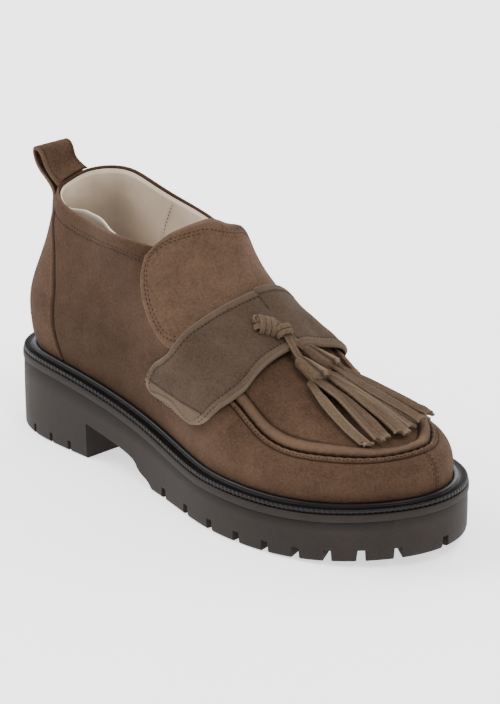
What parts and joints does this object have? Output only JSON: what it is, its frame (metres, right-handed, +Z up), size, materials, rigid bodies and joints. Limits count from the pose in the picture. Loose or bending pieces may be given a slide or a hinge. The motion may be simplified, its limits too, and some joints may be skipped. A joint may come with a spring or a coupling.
{
  "type": "high-top loafer",
  "caption": "High-top slip-on shoe in suede with a raised moccasin toe seam, saddle strap, tassels, heel pull loop and a thick lugged sole with an arched waist.",
  "frame": {"origin": "middle of the footprint, on the floor under the tread", "axes": "+X from heel to toe, +Y to the inner (medial) side of this right shoe, +Z up from the floor"},
  "size_m": [0.278, 0.1074, 0.1436],
  "materials": {
    "outsole": "matt",
    "welt": "satin",
    "insole": "matt",
    "upper": "napped",
    "tongue": "napped",
    "strap": "napped",
    "pull_loop": "napped",
    "tassel": "napped"
  },
  "bodies": {
    "root": {"outsole": "outsole", "welt": "welt", "insole": "insole", "upper": "upper", "tongue": "tongue", "strap": "strap", "pull_loop": "pull_loop", "tassel_knot": "tassel", "tassel_lateral": "tassel", "tassel_medial": "tassel"}
  },
  "joints": []
}
